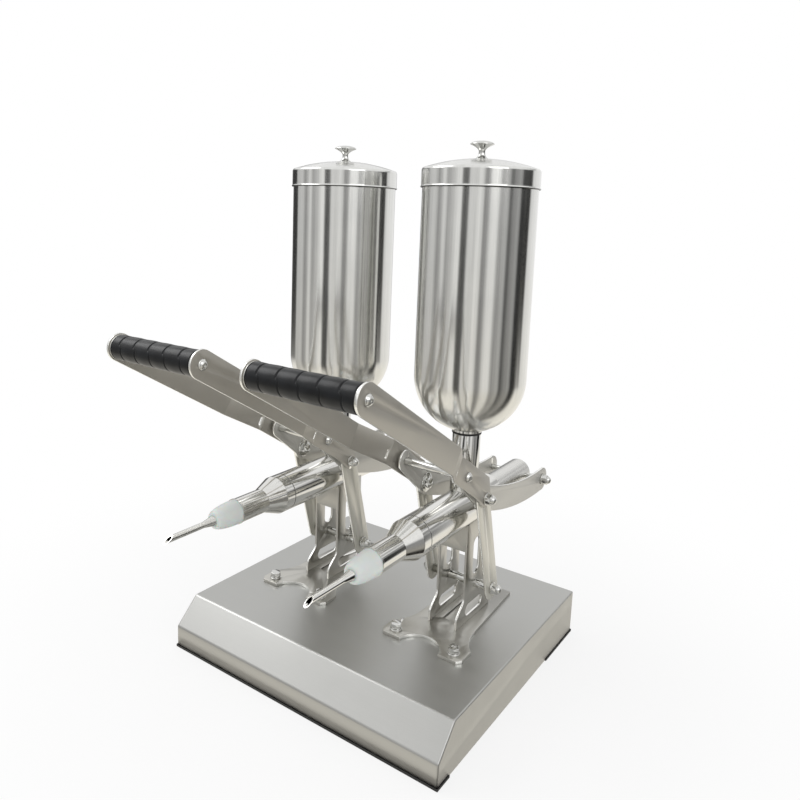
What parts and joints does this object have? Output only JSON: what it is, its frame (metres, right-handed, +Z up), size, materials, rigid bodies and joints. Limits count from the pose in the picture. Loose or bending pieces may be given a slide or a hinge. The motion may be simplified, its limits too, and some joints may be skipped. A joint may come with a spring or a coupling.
{
  "type": "donut filling machine",
  "caption": "Countertop twin donut filler: hand levers push pistons through horizontal barrels fed by upright round hoppers, on a folded steel base.",
  "frame": {"origin": "on the worktop, under the middle of the front rubber edge", "axes": "+Z up, -Y towards the user and the filling needles, +X to the right seen from the front"},
  "size_m": [0.422, 0.5295, 0.7],
  "materials": {
    "base_sheet": "satin",
    "inner_steel": "satin",
    "cut_plate": "satin",
    "lever_plate": "satin",
    "polished_tube": "polished",
    "hopper_steel": "brushed upright",
    "plunger_steel": "satin",
    "fasteners": "bright",
    "grip_rubber": "smooth",
    "edge_rubber": "matt",
    "gasket_rubber": "matt",
    "seal_silicone": "translucent yellow-green",
    "nose_plastic": "milky white"
  },
  "bodies": {
    "base": {"base_shell": "base_sheet", "base_trim_front": "edge_rubber", "base_trim_rear": "edge_rubber", "base_channels": "inner_steel", "foot_bolts": "fasteners", "axle_nuts": "fasteners", "neck_gaskets": "gasket_rubber", "cap_gaskets": "gasket_rubber", "mouth_seals": "seal_silicone", "left_foot_plate": "cut_plate", "left_bracket": "cut_plate", "left_axle": "fasteners", "left_barrel": "polished_tube", "left_neck": "polished_tube", "left_hopper": "hopper_steel", "left_end_cap": "polished_tube", "left_nose": "nose_plastic", "left_needle": "polished_tube", "right_foot_plate": "cut_plate", "right_bracket": "cut_plate", "right_axle": "fasteners", "right_barrel": "polished_tube", "right_neck": "polished_tube", "right_hopper": "hopper_steel", "right_end_cap": "polished_tube", "right_nose": "nose_plastic", "right_needle": "polished_tube"},
    "left_plunger": {"left_plunger": "plunger_steel", "left_plunger_rings": "gasket_rubber", "left_cross_pin": "fasteners"},
    "left_lever": {"left_handle_plate_outer": "lever_plate", "left_handle_plate_inner": "lever_plate", "left_hook_plate_outer": "lever_plate", "left_hook_plate_inner": "lever_plate", "left_pivot_bolts": "fasteners", "left_cross_rod": "fasteners", "left_lever_screws": "fasteners", "left_grip_core": "fasteners", "left_grip_sleeve": "grip_rubber"},
    "left_links": {"left_link_outer": "cut_plate", "left_link_inner": "cut_plate"},
    "left_lid": {"left_lid": "hopper_steel", "left_lid_knob": "fasteners"},
    "right_plunger": {"right_plunger": "plunger_steel", "right_plunger_rings": "gasket_rubber", "right_cross_pin": "fasteners"},
    "right_lever": {"right_handle_plate_outer": "lever_plate", "right_handle_plate_inner": "lever_plate", "right_hook_plate_outer": "lever_plate", "right_hook_plate_inner": "lever_plate", "right_pivot_bolts": "fasteners", "right_cross_rod": "fasteners", "right_lever_screws": "fasteners", "right_grip_core": "fasteners", "right_grip_sleeve": "grip_rubber"},
    "right_links": {"right_link_outer": "cut_plate", "right_link_inner": "cut_plate"},
    "right_lid": {"right_lid": "hopper_steel", "right_lid_knob": "fasteners"}
  },
  "joints": [
    {"name": "left_plunger_stroke", "type": "slide", "parent": "base", "child": "left_plunger", "axis": [0, -1, 0], "range_m": [0, 0.055]},
    {"name": "left_lever_swing", "type": "hinge", "parent": "left_plunger", "child": "left_lever", "pos_m": [-0.1075, 0.3875, 0.223], "axis": [1, 0, 0], "range_deg": [0, 8.32]},
    {"name": "left_link_swing", "type": "hinge", "parent": "base", "child": "left_links", "pos_m": [-0.1075, 0.2275, 0.117], "axis": [1, 0, 0], "range_deg": [0, 25.83]},
    {"name": "left_lid_lift", "type": "slide", "parent": "base", "child": "left_lid", "axis": [0, 0, 1], "range_m": [0, 0.06]},
    {"name": "right_plunger_stroke", "type": "slide", "parent": "base", "child": "right_plunger", "axis": [0, -1, 0], "range_m": [0, 0.055]},
    {"name": "right_lever_swing", "type": "hinge", "parent": "right_plunger", "child": "right_lever", "pos_m": [0.1075, 0.3875, 0.223], "axis": [1, 0, 0], "range_deg": [0, 8.32]},
    {"name": "right_link_swing", "type": "hinge", "parent": "base", "child": "right_links", "pos_m": [0.1075, 0.2275, 0.117], "axis": [1, 0, 0], "range_deg": [0, 25.83]},
    {"name": "right_lid_lift", "type": "slide", "parent": "base", "child": "right_lid", "axis": [0, 0, 1], "range_m": [0, 0.06]}
  ],
  "couplings": [
    {"joint": "left_lever_swing", "follows": "left_plunger_stroke", "rad_per_m": 2.6399},
    {"joint": "left_link_swing", "follows": "left_plunger_stroke", "rad_per_m": 8.1959},
    {"joint": "right_lever_swing", "follows": "right_plunger_stroke", "rad_per_m": 2.6399},
    {"joint": "right_link_swing", "follows": "right_plunger_stroke", "rad_per_m": 8.1959}
  ]
}
